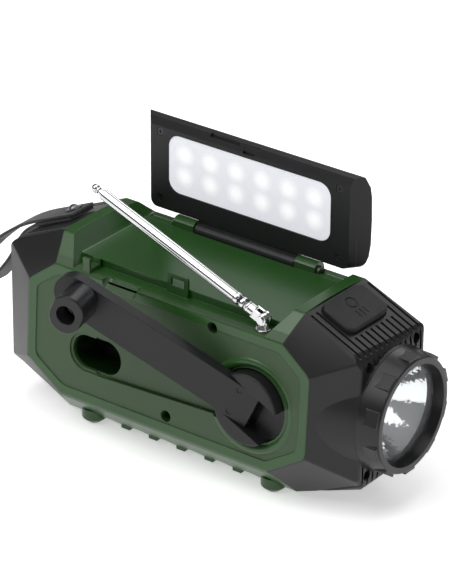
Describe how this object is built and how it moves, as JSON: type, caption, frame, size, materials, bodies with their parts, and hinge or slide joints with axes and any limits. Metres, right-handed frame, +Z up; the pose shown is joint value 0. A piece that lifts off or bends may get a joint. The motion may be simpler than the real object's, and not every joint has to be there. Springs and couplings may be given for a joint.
{
  "type": "emergency radio",
  "caption": "Hand-crank emergency radio with a fold-up lamp and solar lid, telescopic antenna, end torch, carry strap and a display on the other side.",
  "frame": {"origin": "middle of the whole object's footprint box at rest, on the ground plane under its feet", "axes": "+X along the body towards the torch, +Y towards the display side, away from the crank, +Z up"},
  "size_m": [0.2742, 0.1227, 0.148],
  "materials": {
    "green_shell": "fine textured olive green ABS with a glossier border",
    "black_cap": "satin near-black ABS",
    "lid_black": "satin near-black ABS",
    "crank_grey": "satin dark grey nylon",
    "knob_grey": "smooth dark grey",
    "chrome": "bright plated",
    "reflector_chrome": "vacuum metallised",
    "steel": "plain steel",
    "clear_lens": "clear polycarbonate",
    "diffuser": "milky white lamp diffuser",
    "solar_cell": "dark blue laminate",
    "circuit_board": "green solder mask",
    "led_package": "phosphor yellow",
    "soft_rubber": "soft moulded",
    "gear_plastic": "natural acetal",
    "bush_brass": "sintered",
    "magnet_rotor": "ferrite on a steel shaft",
    "aluminium": "plain",
    "display_glass": "smoked window",
    "fascia": "satin black",
    "speaker_black": "pulp cone and frame",
    "cell_wrap": "shrink sleeve",
    "strap_web": "woven webbing"
  },
  "bodies": {
    "case": {"crank_side_shell": "green_shell", "display_side_shell": "green_shell", "feet": "green_shell", "left_end_cap": "black_cap", "right_end_cap": "black_cap", "crank_bush": "bush_brass", "gear_pin": "steel", "gearbox_plate": "black_cap", "dynamo_stator": "steel", "hinge_pins": "steel", "torch_bezel": "black_cap", "torch_lens": "clear_lens", "torch_seal": "soft_rubber", "torch_reflector": "reflector_chrome", "torch_led": "led_package", "torch_heatsink": "aluminium", "torch_switch": "circuit_board", "front_fascia": "fascia", "display_window": "display_glass", "display_module": "display_glass", "speaker": "speaker_black", "main_board": "circuit_board", "usb_ports": "steel", "battery_cells": "cell_wrap", "case_screws": "steel", "end_screws": "steel", "carry_strap": "strap_web", "strap_anchor": "steel"},
    "lid": {"lid_frame": "lid_black", "lid_back": "lid_black", "solar_panel": "solar_cell", "lamp_diffuser": "diffuser", "lamp_board": "circuit_board", "lamp_leds": "led_package", "lid_screws": "steel"},
    "hub": {"crank_hub": "crank_grey", "crank_shaft_gear": "gear_plastic", "crank_fold_pin": "steel"},
    "arm": {"crank_arm": "crank_grey", "knob_axle": "steel"},
    "knob": {"crank_knob": "knob_grey"},
    "middle_gear": {"middle_wheel": "gear_plastic"},
    "rotor": {"dynamo_rotor": "magnet_rotor"},
    "mast_foot": {"antenna_swivel": "chrome", "antenna_rivet": "chrome"},
    "mast_1": {"antenna_knuckle": "chrome", "antenna_section_1": "chrome"},
    "mast_2": {"antenna_section_2": "chrome"},
    "mast_3": {"antenna_section_3": "chrome"},
    "mast_4": {"antenna_section_4": "chrome"},
    "mast_5": {"antenna_section_5": "chrome", "antenna_tip": "chrome"},
    "torch_key": {"torch_button": "soft_rubber"},
    "port_flap": {"port_cover": "soft_rubber"},
    "power_key_body": {"power_key": "soft_rubber"},
    "band_key_body": {"band_key": "soft_rubber"},
    "tune_down_key_body": {"tune_down_key": "soft_rubber"},
    "tune_up_key_body": {"tune_up_key": "soft_rubber"},
    "alarm_key_body": {"alarm_key": "soft_rubber"}
  },
  "joints": [
    {"name": "lid_hinge", "type": "hinge", "parent": "case", "child": "lid", "pos_m": [0.01726, 0.047, 0.094], "axis": [1, 0, 0], "range_deg": [-10, 90]},
    {"name": "crank_spin", "type": "hinge", "parent": "case", "child": "hub", "pos_m": [0.07056, -0.02036, 0.0516], "axis": [0, -0.9979, 0.0651], "continuous": true},
    {"name": "crank_fold", "type": "hinge", "parent": "hub", "child": "arm", "pos_m": [0.07056, -0.02156, 0.05168], "axis": [0.4051, 0.0595, 0.9123], "range_deg": [0, 155]},
    {"name": "knob_spin", "type": "hinge", "parent": "arm", "child": "knob", "pos_m": [-0.01277, -0.05176, 0.09065], "axis": [0.2088, -0.9775, -0.029], "continuous": true},
    {"name": "middle_gear_spin", "type": "hinge", "parent": "case", "child": "middle_gear", "pos_m": [0.04447, -0.00142, 0.06546], "axis": [0, -0.9979, 0.0651], "continuous": true},
    {"name": "rotor_spin", "type": "hinge", "parent": "case", "child": "rotor", "pos_m": [0.02557, 0.00213, 0.05833], "axis": [0, -0.9979, 0.0651], "continuous": true},
    {"name": "antenna_swivel_turn", "type": "hinge", "parent": "case", "child": "mast_foot", "pos_m": [0.07136, -0.01251, 0.0896], "axis": [0, 0, 1], "range_deg": [0, 150]},
    {"name": "antenna_tilt", "type": "hinge", "parent": "mast_foot", "child": "mast_1", "pos_m": [0.07136, -0.01251, 0.0959], "axis": [0, 1, 0], "range_deg": [-20.8, 69.2]},
    {"name": "antenna_slide_1", "type": "slide", "parent": "mast_1", "child": "mast_2", "axis": [-0.9348, 0, 0.3551], "range_m": [0, 0.074]},
    {"name": "antenna_slide_2", "type": "slide", "parent": "mast_2", "child": "mast_3", "axis": [-0.9348, 0, 0.3551], "range_m": [0, 0.074]},
    {"name": "antenna_slide_3", "type": "slide", "parent": "mast_3", "child": "mast_4", "axis": [-0.9348, 0, 0.3551], "range_m": [0, 0.074]},
    {"name": "antenna_slide_4", "type": "slide", "parent": "mast_4", "child": "mast_5", "axis": [-0.9348, 0, 0.3551], "range_m": [0, 0.074]},
    {"name": "torch_button_press", "type": "slide", "parent": "case", "child": "torch_key", "axis": [-0.4069, 0, -0.9135], "range_m": [0, 0.0012], "stiffness_N_per_m": 1200},
    {"name": "power_key_press", "type": "slide", "parent": "case", "child": "power_key_body", "axis": [0, -0.9979, -0.0651], "range_m": [0, 0.001], "stiffness_N_per_m": 600},
    {"name": "band_key_press", "type": "slide", "parent": "case", "child": "band_key_body", "axis": [0, -0.9979, -0.0651], "range_m": [0, 0.001], "stiffness_N_per_m": 600},
    {"name": "tune_down_key_press", "type": "slide", "parent": "case", "child": "tune_down_key_body", "axis": [0, -0.9979, -0.0651], "range_m": [0, 0.001], "stiffness_N_per_m": 600},
    {"name": "tune_up_key_press", "type": "slide", "parent": "case", "child": "tune_up_key_body", "axis": [0, -0.9979, -0.0651], "range_m": [0, 0.001], "stiffness_N_per_m": 600},
    {"name": "alarm_key_press", "type": "slide", "parent": "case", "child": "alarm_key_body", "axis": [0, -0.9979, -0.0651], "range_m": [0, 0.001], "stiffness_N_per_m": 600},
    {"name": "port_cover_hinge", "type": "hinge", "parent": "case", "child": "port_flap", "pos_m": [0.05126, 0.05968, 0.02889], "axis": [-1, 0, 0], "range_deg": [0, 100]}
  ],
  "couplings": [
    {"joint": "middle_gear_spin", "follows": "crank_spin", "ratio": -4},
    {"joint": "rotor_spin", "follows": "crank_spin", "ratio": 16}
  ]
}
